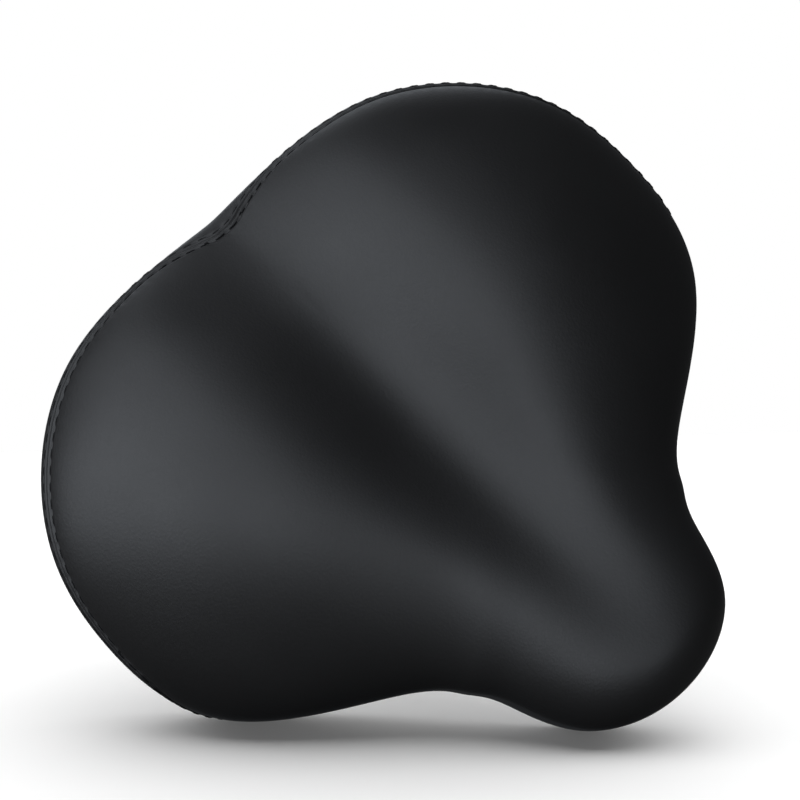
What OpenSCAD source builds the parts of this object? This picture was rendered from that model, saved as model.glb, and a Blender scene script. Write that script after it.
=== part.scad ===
// Wide sprung bicycle saddle: a two-lobed padded top on a moulded base, coil springs at the
// rear, a bent wire rail frame that pivots at the nose, and a clamp for a plain seatpost.
// Frame: +Z up, nose towards -Y, +X to the rider's left, origin at the clamp bore's centre.

/* [Padded top] */
// Height of the top's reference plane above the clamp bore
top_z = 100; // [92:1:112]
// Distance of the top's reference line behind the clamp bore
top_y = 10; // [6:1:14]
// Height of the crown over the reference plane
crown_h = 42; // [36:1:48]
// Depth of the relief groove at the rear
groove_depth = 26; // [10:1:28]
// Half width of the relief groove
groove_w = 33; // [24:1:40]
// Height of the cover's side, from its widest line down to the hem
side_drop = 34; // [28:1:38]
// Thickness of the cover material
cover_t = 1.2; // [0.8:0.1:2]
// Width of the hem folded under the base
hem_w = 11; // [8:1:14]

/* [Base] */
// Wall thickness of the moulded base
base_t = 3.5; // [3:0.5:4]
// Depth of the ribs under the base
rib_depth = 6; // [4:1:8]

/* [Rails] */
// Diameter of the rail wire
rail_d = 7; // [6.5:0.1:7.5]
// Distance between the two rails where the clamp grips them
rail_gap = 44; // [43:0.5:45]
// Height of the rails above the clamp bolt
rail_z = 13; // [12:0.5:14]
// Distance of the nose pivot ahead of the clamp bore
pivot_y = -100; // [-104:1:-96]
// Height of the nose pivot above the clamp bore
pivot_z = 78; // [76:1:80]

/* [Springs] */
// Distance of each spring from the centre line
spring_x = 48; // [46:1:52]
// Distance of the springs behind the clamp bore
spring_y = 84; // [82:1:88]
// Wire diameter of the springs
spring_wire = 4.5; // [4:0.1:5]
// Outer diameter of the springs
spring_od = 34; // [32:1:36]
// Number of coils
spring_turns = 5; // [4:0.5:6]

/* [Seatpost clamp] */
// Diameter of the seatpost that fits the clamp
post_d = 22.2; // [22.2, 25.4]
// Height of the clamp band
band_h = 30; // [26:1:34]
// Distance of the clamp bolt behind the clamp bore
bolt_y = 30; // [29:1:32]
// Diameter of the clamp's serrated discs
disc_d = 36; // [34:1:36]

/* [Hidden] */
$fn = 48;

// Running clearance, at the radius, of a part that slides or turns
run_clear = 0.05;
// Clearance between flat faces that turn on each other
face_gap = 0.1;

// Base: its edge inside the hem, ribs, and bosses
base_edge = cover_t + 3;
base_steps = 6;
rib_w = 2.4;
rib_reach = 180;
rib_ys = [-55, -25, 5, 35];
rib_xs = [-95, -72, 72, 95];
boss_d = 16;
staple_count = 26;
staple = [10, 1.2, 0.9];

// Fasteners
bolt_d = 8;
bolt_flats = 13;
head_h = 5.3;
nut_h = 6.5;
screw_d = 5;

// Nose bracket, with its top face against the base's nose boss
bracket_top = pivot_z + 10;
bracket_t = 3;
bracket_w = 48;
bracket_l = 30;
bracket_hole_x = 17;
barrel_d = 13;
barrel_l = 18;

// Rear mounting plate: its underside, and its holes as [x, y, diameter]
plate_z = top_z - 38;
plate_t = 2.5;
plate_w = 160;
plate_l = 28;
plate_screw_x = [74, 20];
plate_screw_l = 6;
plate_bolt_l = plate_t + 4;
plate_holes = [for (side = [1, -1]) each
    concat([[side * spring_x, spring_y, bolt_d]],
        [for (x = plate_screw_x) [side * x, spring_y, screw_d]])];

// Rails
rail_x = rail_gap / 2;
rail_rear_y = 60;
eye_r = 8.6;
eye_turn = 300;
joint_l = 0.6;
joint_gap = 0.02;
eye_top = rail_z + rail_d / 2;
bridge_t = 3;
bridge_l = 26;
bridge_z = rail_z - rail_d / 2 - bridge_t;

// Springs between their cups
cup_t = 2;
cup_h = 7;
spring_bottom = eye_top + cup_t + 0.1;
spring_top = plate_z - cup_t - 0.1;
coil_steps = 14;
coil_sides = 8;

// Seatpost clamp, in order outwards along the bolt
band_t = 3.4;
ear_x = 3;
ear_t = 4;
washer_d = 30;
washer_t = 2.9;
cradle_x = ear_x + ear_t + washer_t + face_gap;
cradle_w = rail_x - 0.5 - cradle_x;
cap_x = rail_x + 0.5;
cap_w = 8.5;
flat_washer_t = 1.6;

// ---- Shape of the padded top, in its own frame: x, y and height from the reference plane ----

// Control points of the widest line, from the nose round the left side to the tail
rim_points = [[0, -160, 22], [45, -144, 22], [54, -104, 12], [64, -96, 10], [70, -81, 4],
    [151, -40, -16], [158, 25, -14], [147, 76, -6], [92, 127, -6], [17, 126, -10], [0, 124, -12]];
rim_last = len(rim_points) - 1;
// The centre line's ends, from which the surface's sections fan out
spine_front = -65;
spine_rear = 60;
// How square the sections are in plan, at the nose and at the tail, and in height
plan_power_nose = 3.1;
plan_power_tail = 2.2;
height_power = 1.8;
// Share by which the side tucks in at the hem
side_tuck = 0.08;
// Rise and fall of the crown along its length, per 100 mm
crown_slope = 8;
crown_bend = -3;
crown_twist = -9;
// Fall towards the sides per (100 mm)^2, and the low swelling under each sit bone
side_fall = 4.5;
swell_h = 5;
swell_at = [100, 9];
swell_size = [46, 41];
// Where the groove starts and where it reaches its full depth, and its widening per 100 mm
groove_start = -143;
groove_full = 60;
groove_flare = 15;
// Angle of the rear seam on the section: at the tail, and its fall towards the wings' fronts
seam_angle_tail = 63;
seam_angle_fall = 24;
seam_angle_end = 4;
seam_angle_max = 150;

// Columns round half the outline, and rings down each section: to the seam, and on to the hem
outline_steps = 28;
top_rings = 9;
side_rings = 5;
hem_ring = top_rings + side_rings;
hem_angle = 180;
// Clearance between one layer and the next
layer_gap = 0.3;

function clamp01(v) = min(1, max(0, v));
function smooth(a, b, v) = let (u = clamp01((v - a) / (b - a))) u * u * (3 - 2 * u);

function rim_control(i) =
    i < 0 ? [-rim_points[1].x, rim_points[1].y, rim_points[1].z] :
    i > rim_last ? [-rim_points[rim_last - 1].x, rim_points[rim_last - 1].y,
        rim_points[rim_last - 1].z] :
    rim_points[i];

// Point of the widest line at t, 0 at the nose and 1 at the tail: a uniform cubic B-spline
function rim(t) =
    let (i = min(floor(t * rim_last), rim_last - 1), f = t * rim_last - i)
    (pow(1 - f, 3) * rim_control(i - 1)
        + (3 * pow(f, 3) - 6 * f * f + 4) * rim_control(i)
        + (-3 * pow(f, 3) + 3 * f * f + 3 * f + 1) * rim_control(i + 1)
        + pow(f, 3) * rim_control(i + 2)) / 6;

// Lengths along the widest line against t, to place columns and staples evenly
line_samples = 120;
line_steps = [for (i = [1:line_samples]) norm(rim(i / line_samples) - rim((i - 1) / line_samples))];
function running_sum(v) = [for (i = 0, total = 0; i <= len(v);
    total = total + (i < len(v) ? v[i] : 0), i = i + 1) total];
line_lengths = running_sum(line_steps);
t_at_length = [for (i = [0:line_samples]) [line_lengths[i], i / line_samples]];
function even_t(share) = lookup(share * line_lengths[line_samples], t_at_length);

function spine_at(t) = spine_front + (spine_rear - spine_front) * smooth(0, 1, t);

function crown(x, y) =
    let (s = y / 100, groove = groove_depth * smooth(groove_start, groove_full, y),
        width = groove_w + groove_flare * s, ax = abs(x))
    crown_h + crown_slope * s + crown_bend * s * s + crown_twist * pow(s, 3)
        - side_fall * pow(ax / 100, 2)
        - groove * exp(-pow(x / width, 2))
        + swell_h * exp(-pow((ax - swell_at[0]) / swell_size[0], 2)
            - pow((y - swell_at[1]) / swell_size[1], 2));

// Point of the skin at outline parameter t and section angle a: 0 on the centre line, 90 on
// the widest line, 180 at the hem. inset moves it into the body.
function skin(t, a, inset) =
    let (o = rim(t), cy = spine_at(t), reach = norm([o.x, o.y - cy]),
        power = plan_power_nose + (plan_power_tail - plan_power_nose) * smooth(0.3, 1, t),
        r = a < 90 ? pow(sin(a), 2 / power) : 1 - side_tuck * (1 - sin(a)),
        q = r * (1 - inset / reach), x = o.x * q, y = cy + (o.y - cy) * q,
        lift = a < 90 ? pow(cos(a), 2 / height_power) : 0,
        z = o.z + (crown(o.x * r, cy + (o.y - cy) * r) - inset - o.z) * lift
            + (a > 90 ? side_drop * cos(a) : 0))
    [x, y + top_y, z + top_z];

// Angle of the rear seam at t: it runs round the tail and falls towards the wings' fronts
function seam_angle(t) =
    let (u = 2 * (1 - t))
    min(seam_angle_max, seam_angle_tail + seam_angle_fall * u * u + seam_angle_end * pow(u, 12));

// Point under the hem, w inwards from its edge and risen by rise
function fold(t, w, rise) =
    let (p = skin(t, hem_angle, 0), cy = spine_at(t) + top_y,
        q = 1 - w / norm([p.x, p.y - cy]))
    [p.x * q, cy + (p.y - cy) * q, p.z + rise];

// Height of the base's underside on the centre line, and its point a share r of the way out
function base_spine_z(y) = top_z - 8 - 24 * smooth(-120, 60, y - top_y);
function base_point(t, r, rise) =
    let (h = skin(t, hem_angle, base_edge), cy = spine_at(t) + top_y, y = cy + (h.y - cy) * r,
        out = pow(r, 2.5))
    [h.x * r, y, base_spine_z(y) * (1 - out) + (h.z + layer_gap) * out + rise];

// ---- Columns: round the whole outline, left side first, then the right side mirrored ----

columns = 2 * outline_steps;
function column_t(c) = even_t((c <= outline_steps ? c : columns - c) / outline_steps);
function half_column(c) = c <= outline_steps ? c : columns - c;
function sided(c, p) = c <= outline_steps ? p : [-p.x, p.y, p.z];

// Section angle of ring k in a column: the seam is ring top_rings
function ring_angle(t, k) =
    let (seam = seam_angle(t))
    k <= top_rings ? seam * k / top_rings
        : seam + (hem_angle - seam) * (k - top_rings) / side_rings;

// Two triangles of a quad, without any that has collapsed onto a shared point. Every layer's
// quads are cut along the same diagonal, so that layers keep their distance.
function quad(a, b, c, d) = [if (a != b && b != c && c != a) [a, b, c],
    if (a != c && c != d && d != a) [a, c, d]];

// Number of a column's point in a list of columns with n points each; mirrored columns share
// their first point, on the centre line
function point_at(c, k, n) = let (m = (c + columns) % columns)
    k == 0 ? half_column(m) * n : m * n + k;

// Closed solid between two layers, each a list of columns that start on the centre line
module skin_solid(upper, lower) {
    nu = len(upper[0]);
    nl = len(lower[0]);
    base = columns * nu;
    function up(c, k) = point_at(c, k, nu);
    function low(c, k) = base + point_at(c, k, nl);
    polyhedron(
        concat([for (column = upper) each column], [for (column = lower) each column]),
        [for (c = [0:columns - 1]) each concat(
            [for (k = [0:nu - 2])
                each quad(up(c, k), up(c + 1, k), up(c + 1, k + 1), up(c, k + 1))],
            [for (k = [0:nl - 2])
                each quad(low(c + 1, k + 1), low(c + 1, k), low(c, k), low(c, k + 1))],
            quad(up(c, nu - 1), up(c + 1, nu - 1), low(c + 1, nl - 1), low(c, nl - 1)))],
        convexity = 6);
}

// Panel of material between two layers of rings, made of the cells (c, k) that has() accepts
module panel_solid(upper, lower, has) {
    n = len(upper[0]);
    base = columns * n;
    function up(c, k) = point_at(c, k, n);
    function low(c, k) = base + point_at(c, k, n);
    function cell(c, k) = k < 0 || (k < n - 1 && has((c + columns) % columns, k));
    polyhedron(
        concat([for (column = upper) each column], [for (column = lower) each column]),
        [for (c = [0:columns - 1], k = [0:n - 2]) if (cell(c, k)) each concat(
            quad(up(c, k), up(c + 1, k), up(c + 1, k + 1), up(c, k + 1)),
            quad(low(c + 1, k + 1), low(c + 1, k), low(c, k), low(c, k + 1)),
            cell(c, k + 1) ? [] :
                quad(up(c, k + 1), up(c + 1, k + 1), low(c + 1, k + 1), low(c, k + 1)),
            cell(c, k - 1) ? [] : quad(up(c + 1, k), up(c, k), low(c, k), low(c + 1, k)),
            cell(c + 1, k) ? [] :
                quad(up(c + 1, k + 1), up(c + 1, k), low(c + 1, k), low(c + 1, k + 1)),
            cell(c - 1, k) ? [] : quad(up(c, k), up(c, k + 1), low(c, k + 1), low(c, k)))],
        convexity = 6);
}

// ---- Cover: a top panel, and a rear panel sewn to it along the seam ----

seam_column = 12;
seam_open = 0.5;

function is_rear(c, k) =
    k >= top_rings && c >= seam_column && c < columns - seam_column;

// Rings of one layer of the cover, with the hem folded in as the last ring; the rear panel
// starts a little way off the seam
function cover_layer(inset, open) = [for (c = [0:columns - 1])
    let (at_end = half_column(c) == seam_column ? open * 0.001 : 0, t = column_t(c) + at_end)
    concat(
        [for (k = [0:hem_ring])
            sided(c, skin(t, ring_angle(t, k) + (k == top_rings ? open : 0), inset))],
        [sided(c, fold(t, hem_w, inset == 0 ? -cover_t : 0))])];

module cover_top_panel() {
    color([0.05, 0.05, 0.055])
        panel_solid(cover_layer(0, 0), cover_layer(cover_t, 0), function (c, k) !is_rear(c, k));
}

module cover_rear_panel() {
    color([0.05, 0.05, 0.055])
        panel_solid(cover_layer(0, seam_open), cover_layer(cover_t, seam_open),
            function (c, k) is_rear(c, k));
}

// ---- Foam and base ----

module foam_pad() {
    inset = cover_t + layer_gap;
    upper = [for (c = [0:columns - 1]) let (t = column_t(c))
        [for (k = [0:hem_ring])
            sided(c, skin(t, ring_angle(t, k), inset)) + [0, 0, k == hem_ring ? 1 : 0]]];
    lower = [for (c = [0:columns - 1])
        [for (k = [0:base_steps])
            sided(c, base_point(column_t(c), k / base_steps, base_t + layer_gap))]];
    color([0.85, 0.80, 0.62]) skin_solid(upper, lower);
}

// Share of the way out at which a layer ends, if it stops w inside the base's edge
function share_inside(t, w) =
    let (h = skin(t, hem_angle, base_edge)) 1 - w / norm([h.x, h.y - spine_at(t) - top_y]);

// Layer that follows the base, from low to high above its underside, w inside its edge
module base_layer(low, high, steps, w = 0) {
    function layer(rise) = [for (c = [0:columns - 1]) let (t = column_t(c))
        [for (k = [0:steps]) sided(c, base_point(t, share_inside(t, w) * k / steps, rise))]];
    skin_solid(layer(high), layer(low));
}

module rib(a, b) {
    hull() {
        translate([a.x, a.y, top_z - 70]) cylinder(d = rib_w, h = 80, $fn = 8);
        translate([b.x, b.y, top_z - 70]) cylinder(d = rib_w, h = 80, $fn = 8);
    }
}

module base_shell() {
    color([0.08, 0.08, 0.085]) difference() {
        union() {
            base_layer(0, base_t, base_steps);
            intersection() {
                base_layer(-rib_depth, base_t / 2, base_steps, hem_w + 2);
                union() {
                    for (y = rib_ys) rib([-rib_reach, y], [rib_reach, y]);
                    for (x = rib_xs) rib([x, -rib_reach], [x, rib_reach]);
                }
            }
            intersection() {
                base_layer(-30, base_t / 2, base_steps);
                union() {
                    for (p = plate_holes)
                        translate([p.x, p.y, plate_z + plate_t]) cylinder(d = boss_d, h = 60);
                    translate([-bracket_w / 2, pivot_y - bracket_l / 2, bracket_top])
                        cube([bracket_w, bracket_l, 40]);
                }
            }
        }
        for (p = plate_holes)
            translate([p.x, p.y, plate_z])
                cylinder(d = p.z + 0.6,
                    h = (p.z == screw_d ? plate_screw_l : plate_bolt_l) + layer_gap);
        // Room for the mounting plate and the heads under it
        translate([0, 0, plate_z - rib_depth]) plate_outline(1, rib_depth + plate_t);
        for (side = [1, -1])
            translate([side * bracket_hole_x, pivot_y, bracket_top - 1])
                cylinder(d = screw_d + 0.6, h = 6);
    }
}

// Staples hold the hem's fold to the base
module hem_staples() {
    color([0.75, 0.75, 0.76])
        for (side = [1, -1], k = [0:staple_count - 1]) {
            t = even_t((k + 0.5) / staple_count);
            p = fold(t, hem_w * 0.55, -cover_t);
            along = fold(t + 0.01, hem_w * 0.55, -cover_t) - p;
            translate([side * p.x, p.y, p.z])
                rotate([0, -atan2(along.z, norm([along.x, along.y])),
                    atan2(along.y, side * along.x)])
                    translate([-staple.x / 2, -staple.y / 2, -staple.z - 0.1]) cube(staple);
        }
}

// ---- Small shared shapes ----

// Round bar from a to b
module bar(a, b, d) {
    v = b - a;
    translate(a) rotate([0, acos(v.z / norm(v)), atan2(v.y, v.x)]) cylinder(d = d, h = norm(v));
}

// Drawn along +X from x = 0
module along_x() rotate([0, 90, 0]) children();

// Hexagon head or nut of width w across its flats
module hexagon(w, h) cylinder(d = w / cos(30), h = h, $fn = 6);

// Dome-headed screw: head downwards below the origin, shank up
module dome_screw(d, length) {
    cylinder(d = d, h = length);
    intersection() {
        translate([0, 0, -d / 2]) cylinder(d = 2 * d, h = d / 2);
        translate([0, 0, d * 0.75]) sphere(r = d * 1.25);
    }
}

// Hair-thick collar that joins a straight to a bend at the origin
module wire_joint(d) translate([0, 0, -joint_l / 2]) cylinder(d = d + 0.04, h = joint_l);

// Wire that starts with a bend at the origin, heading along +Z: each step is [bend radius,
// turn, roll before the bend, straight length after it], and it turns towards the rolled +X
module wire_run(steps, d, i = 0) {
    step = steps[i];
    r = step[0];
    rotate([0, 0, step[2]]) translate([r, 0, 0]) {
        rotate([90, 0, 180]) rotate_extrude(angle = step[1]) translate([r, 0]) circle(d = d);
        translate([-r, 0, 0]) wire_joint(d);
        if (step[3] > 0)
            rotate([0, step[1], 0]) translate([-r, 0, 0]) {
                wire_joint(d);
                translate([0, 0, joint_gap]) cylinder(d = d, h = step[3] - 2 * joint_gap);
                translate([0, 0, step[3]]) wire_run(steps, d, i + 1);
            }
    }
}

// ---- Nose pivot ----

module nose_bracket() {
    color([0.09, 0.09, 0.1]) difference() {
        union() {
            translate([-bracket_w / 2, pivot_y - bracket_l / 2, bracket_top - bracket_t])
                cube([bracket_w, bracket_l, bracket_t]);
            translate([-barrel_l / 2, pivot_y - barrel_d / 2, pivot_z])
                cube([barrel_l, barrel_d, bracket_top - bracket_t - pivot_z + 0.5]);
            translate([-barrel_l / 2, pivot_y, pivot_z]) along_x() cylinder(d = barrel_d, h = barrel_l);
        }
        translate([-barrel_l, pivot_y, pivot_z])
            along_x() cylinder(d = rail_d + 2 * run_clear, h = 2 * barrel_l);
        for (side = [1, -1])
            translate([side * bracket_hole_x, pivot_y, bracket_top - 2 * bracket_t])
                cylinder(d = screw_d + 0.4, h = 3 * bracket_t);
    }
}

module nose_screws() {
    color([0.55, 0.55, 0.57])
        for (side = [1, -1])
            translate([side * bracket_hole_x, pivot_y, bracket_top - bracket_t])
                dome_screw(screw_d, bracket_t + 4);
}

// ---- Rear mounting plate and springs ----

// Solid of the plate's outline, grown by grow and h high
module plate_outline(grow, h) {
    translate([(plate_l - plate_w) / 2, spring_y - plate_l / 2 - grow, 0])
        cube([plate_w - plate_l, plate_l + 2 * grow, h]);
    for (side = [1, -1])
        translate([side * (plate_w - plate_l) / 2, spring_y, 0])
            cylinder(d = plate_l + 2 * grow, h = h);
}

module rear_mount_plate() {
    color([0.5, 0.5, 0.52]) difference() {
        translate([0, 0, plate_z]) plate_outline(0, plate_t);
        for (p = plate_holes)
            translate([p.x, p.y, plate_z - 1]) cylinder(d = p.z + 0.4, h = plate_t + 2);
    }
}

module mount_plate_screws() {
    color([0.55, 0.55, 0.57])
        for (p = plate_holes)
            if (p.z == screw_d) translate([p.x, p.y, plate_z]) dome_screw(screw_d, plate_screw_l);
}

// Cup that holds one end of a spring, floor at z = 0 and mouth upwards
module spring_cup() {
    difference() {
        cylinder(d = spring_od + 2 * (cup_t + layer_gap), h = cup_h);
        translate([0, 0, cup_t]) cylinder(d = spring_od + 2 * layer_gap, h = cup_h);
        translate([0, 0, -1]) cylinder(d = bolt_d + 0.4, h = cup_h);
    }
}

module spring_cup_upper(side)
    color([0.09, 0.09, 0.1])
        translate([side * spring_x, spring_y, plate_z]) mirror([0, 0, 1]) spring_cup();

module spring_cup_lower(side)
    color([0.09, 0.09, 0.1])
        translate([side * spring_x, spring_y, eye_top]) spring_cup();

module spring_cup_upper_left() spring_cup_upper(1);
module spring_cup_upper_right() spring_cup_upper(-1);
module spring_cup_lower_left() spring_cup_lower(1);
module spring_cup_lower_right() spring_cup_lower(-1);

module upper_spring_bolts() {
    color([0.6, 0.6, 0.62])
        for (side = [1, -1])
            translate([side * spring_x, spring_y, plate_z - cup_t]) {
                cylinder(d = bolt_d, h = cup_t + plate_bolt_l);
                translate([0, 0, -head_h]) hexagon(bolt_flats, head_h);
            }
}

// Height of the coil's wire at turn n: the end turns are closed up, the rest evenly spaced
function coil_height(n) =
    let (close = spring_wire + 0.3, rise = spring_top - spring_bottom - spring_wire,
        pitch = (rise - 2 * close) / (spring_turns - 2))
    n < 1 ? close * n : n > spring_turns - 1 ? rise - close * (spring_turns - n)
        : close + pitch * (n - 1);

// One ring of the coil's wire at turn n
function coil_ring(n) = [for (k = [0:coil_sides - 1])
    let (out = (spring_od - spring_wire) / 2 + spring_wire / 2 * cos(360 * k / coil_sides),
        up = spring_wire / 2 * (1 + sin(360 * k / coil_sides)))
    [out * cos(360 * n), out * sin(360 * n), spring_bottom + coil_height(n) + up]];

module coil_spring() {
    rings = spring_turns * coil_steps;
    polyhedron(
        [for (i = [0:rings]) each coil_ring(i / coil_steps)],
        concat(
            [for (i = [0:rings - 1], k = [0:coil_sides - 1]) each quad(
                i * coil_sides + k, i * coil_sides + (k + 1) % coil_sides,
                (i + 1) * coil_sides + (k + 1) % coil_sides, (i + 1) * coil_sides + k)],
            [[for (k = [coil_sides - 1:-1:0]) k]],
            [[for (k = [0:coil_sides - 1]) rings * coil_sides + k]]),
        convexity = 20);
}

module spring_left()
    color([0.62, 0.62, 0.64]) translate([spring_x, spring_y, 0]) coil_spring();
module spring_right()
    color([0.62, 0.62, 0.64]) translate([-spring_x, spring_y, 0]) mirror([1, 0, 0]) coil_spring();

module lower_spring_bolts() {
    color([0.6, 0.6, 0.62])
        for (side = [1, -1])
            translate([side * spring_x, spring_y, bridge_z]) {
                cylinder(d = bolt_d, h = eye_top + cup_t + nut_h + 2 - bridge_z);
                translate([0, 0, -head_h]) hexagon(bolt_flats, head_h);
            }
}

module lower_spring_nuts() {
    color([0.6, 0.6, 0.62])
        for (side = [1, -1])
            translate([side * spring_x, spring_y, eye_top + cup_t]) difference() {
                hexagon(bolt_flats, nut_h);
                translate([0, 0, -1]) cylinder(d = bolt_d + 0.2, h = nut_h + 2);
            }
}

// ---- Rails ----

// Each half of the wire leaves the nose pivot, turns back and down the slope, runs level
// through the grip, turns outwards, and closes round the lower spring bolt
pivot_bend = 10;
slope_bend = 24;
slope_angle = 39;
slope_trim = slope_bend * tan(slope_angle / 2);
slope_run = (pivot_z - rail_z) / sin(slope_angle);
grip_front_y = pivot_y + slope_run * cos(slope_angle) + slope_trim;
eye_dx = spring_x - rail_x;
eye_dy = spring_y - rail_rear_y;
eye_distance = norm([eye_dx, eye_dy]);
out_bend = 14;
out_angle = atan2(eye_dx, eye_dy) - asin(eye_r / eye_distance);
out_trim = out_bend * tan(out_angle / 2);
half_wire = [
    [pivot_bend, 90, 90 - slope_angle, slope_run - pivot_bend - slope_trim],
    [slope_bend, slope_angle, 90, rail_rear_y - out_trim - grip_front_y],
    [out_bend, out_angle, 90, sqrt(pow(eye_distance, 2) - pow(eye_r, 2)) - out_trim],
    [eye_r, eye_turn, 0, 0]];

module rail_wire() {
    pin_half = rail_x - pivot_bend;
    color([0.62, 0.62, 0.64])
        translate([0, pivot_y, pivot_z]) {
            translate([joint_gap - pin_half, 0, 0])
                along_x() cylinder(d = rail_d, h = 2 * (pin_half - joint_gap));
            for (side = [0, 1])
                mirror([side, 0, 0]) translate([pin_half, 0, 0]) along_x() wire_run(half_wire, rail_d);
        }
}

module rear_bridge() {
    color([0.5, 0.5, 0.52]) difference() {
        union() {
            translate([-spring_x, spring_y - bridge_l / 2, bridge_z])
                cube([2 * spring_x, bridge_l, bridge_t]);
            for (side = [1, -1])
                translate([side * spring_x, spring_y, bridge_z])
                    cylinder(d = bridge_l, h = bridge_t);
        }
        for (side = [1, -1])
            translate([side * spring_x, spring_y, bridge_z - 1])
                cylinder(d = bolt_d + 0.4, h = bridge_t + 2);
    }
}

// ---- Seatpost clamp ----

// Along the bolt's axis from x, on the left for side 1
module on_bolt(side, x)
    mirror([side < 0 ? 1 : 0, 0, 0]) translate([x, bolt_y, 0]) along_x() children();

// Groove for one rail across a disc
module rail_groove()
    translate([rail_x, bolt_y - disc_d, rail_z])
        rotate([-90, 0, 0]) cylinder(d = rail_d + 2 * run_clear, h = 2 * disc_d);

// Clamp half from x to x + w that grips the rail
module rail_grip(side, x, w) {
    difference() {
        on_bolt(side, x) cylinder(d = disc_d, h = w);
        mirror([side < 0 ? 1 : 0, 0, 0]) rail_groove();
        on_bolt(side, x - 1) cylinder(d = bolt_d + 2 * run_clear, h = w + 2);
    }
}

module rail_cradle_left() color([0.12, 0.12, 0.13]) rail_grip(1, cradle_x, cradle_w);
module rail_cradle_right() color([0.12, 0.12, 0.13]) rail_grip(-1, cradle_x, cradle_w);
module rail_cap_left() color([0.12, 0.12, 0.13]) rail_grip(1, cap_x, cap_w);
module rail_cap_right() color([0.12, 0.12, 0.13]) rail_grip(-1, cap_x, cap_w);

module clamp_band() {
    color([0.12, 0.12, 0.13]) difference() {
        union() {
            translate([0, 0, -band_h / 2]) cylinder(d = post_d + 2 * band_t, h = band_h);
            for (side = [1, -1]) {
                on_bolt(side, ear_x) cylinder(d = band_h, h = ear_t);
                translate([side > 0 ? ear_x : -ear_x - ear_t, post_d / 2, -band_h / 2])
                    cube([ear_t, bolt_y - post_d / 2, band_h]);
            }
        }
        translate([0, 0, -band_h]) cylinder(d = post_d, h = 2 * band_h);
        translate([-ear_x, 0, -band_h]) cube([2 * ear_x, bolt_y, 2 * band_h]);
        on_bolt(1, -2 * cap_x) cylinder(d = bolt_d + 0.4, h = 4 * cap_x);
    }
}

// Disc with a serrated edge that locks the cradle's angle
module serrated_washer(side) {
    teeth = 36;
    edge = [for (i = [0:2 * teeth - 1])
        let (r = washer_d / 2 - (i % 2) * 0.9)
        [r * cos(180 * i / teeth), r * sin(180 * i / teeth)]];
    color([0.6, 0.6, 0.62]) on_bolt(side, ear_x + ear_t)
        linear_extrude(height = washer_t) difference() {
            polygon(edge);
            circle(d = bolt_d + 0.4);
        }
}

module serrated_washer_left() serrated_washer(1);
module serrated_washer_right() serrated_washer(-1);

module clamp_bolt() {
    outer = cap_x + cap_w + face_gap + flat_washer_t;
    color([0.6, 0.6, 0.62]) {
        on_bolt(1, -outer) cylinder(d = bolt_d, h = 2 * outer + nut_h + 3);
        on_bolt(-1, outer) hexagon(bolt_flats, head_h);
    }
}

module clamp_washers() {
    color([0.6, 0.6, 0.62])
        for (side = [1, -1])
            on_bolt(side, cap_x + cap_w + face_gap) difference() {
                cylinder(d = 17, h = flat_washer_t);
                translate([0, 0, -1]) cylinder(d = bolt_d + 0.4, h = flat_washer_t + 2);
            }
}

module clamp_nut() {
    color([0.6, 0.6, 0.62])
        on_bolt(1, cap_x + cap_w + face_gap + flat_washer_t) difference() {
            hexagon(bolt_flats, nut_h);
            translate([0, 0, -1]) cylinder(d = bolt_d + 0.2, h = nut_h + 2);
        }
}

cover_top_panel();
cover_rear_panel();
foam_pad();
base_shell();
hem_staples();
nose_bracket();
nose_screws();
rear_mount_plate();
mount_plate_screws();
spring_cup_upper_left();
spring_cup_upper_right();
upper_spring_bolts();
spring_left();
spring_right();
spring_cup_lower_left();
spring_cup_lower_right();
lower_spring_bolts();
lower_spring_nuts();
rail_wire();
rear_bridge();
rail_cradle_left();
rail_cradle_right();
rail_cap_left();
rail_cap_right();
clamp_band();
serrated_washer_left();
serrated_washer_right();
clamp_bolt();
clamp_washers();
clamp_nut();
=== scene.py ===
"""Wide sprung bicycle saddle: its looks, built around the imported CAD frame.

Row frame in metres: +Z up, nose towards -Y, +X to the rider's left, origin at the clamp's bore.
The padded top's own shape is worked out in millimetres with the formulas of the CAD model.
"""

import math

import bmesh
import bpy
import numpy as np
from mathutils import Matrix, Vector
from mathutils.bvhtree import BVHTree
from mathutils.kdtree import KDTree


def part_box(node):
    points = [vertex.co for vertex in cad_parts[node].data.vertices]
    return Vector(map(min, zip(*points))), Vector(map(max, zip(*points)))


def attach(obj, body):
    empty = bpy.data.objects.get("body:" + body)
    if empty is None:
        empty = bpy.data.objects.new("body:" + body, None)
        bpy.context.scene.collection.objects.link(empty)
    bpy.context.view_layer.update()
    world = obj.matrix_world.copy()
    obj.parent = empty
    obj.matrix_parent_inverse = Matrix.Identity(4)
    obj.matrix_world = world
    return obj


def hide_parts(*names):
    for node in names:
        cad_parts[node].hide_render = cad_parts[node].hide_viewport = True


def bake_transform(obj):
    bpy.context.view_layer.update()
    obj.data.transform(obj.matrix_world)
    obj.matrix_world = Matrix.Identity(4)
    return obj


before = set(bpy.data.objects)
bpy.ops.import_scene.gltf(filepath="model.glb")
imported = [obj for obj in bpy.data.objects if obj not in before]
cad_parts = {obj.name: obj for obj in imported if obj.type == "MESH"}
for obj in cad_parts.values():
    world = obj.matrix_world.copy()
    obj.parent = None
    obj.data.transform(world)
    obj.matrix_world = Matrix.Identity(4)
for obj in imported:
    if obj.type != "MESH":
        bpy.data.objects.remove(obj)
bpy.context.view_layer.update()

MM = 0.001
scene = bpy.context.scene
scene.view_settings.view_transform = "Standard"

# ---------------------------------------------------------------- camera

EYE = Vector((-0.2337, -0.0470, 1.0792))
TARGET = Vector((-0.0018, 0.0212, 0.1200))
SCREEN_UP = Vector((0.6615, 0.7196, 0.2110))
LENS, SENSOR = 108.0, 36.0

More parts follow.
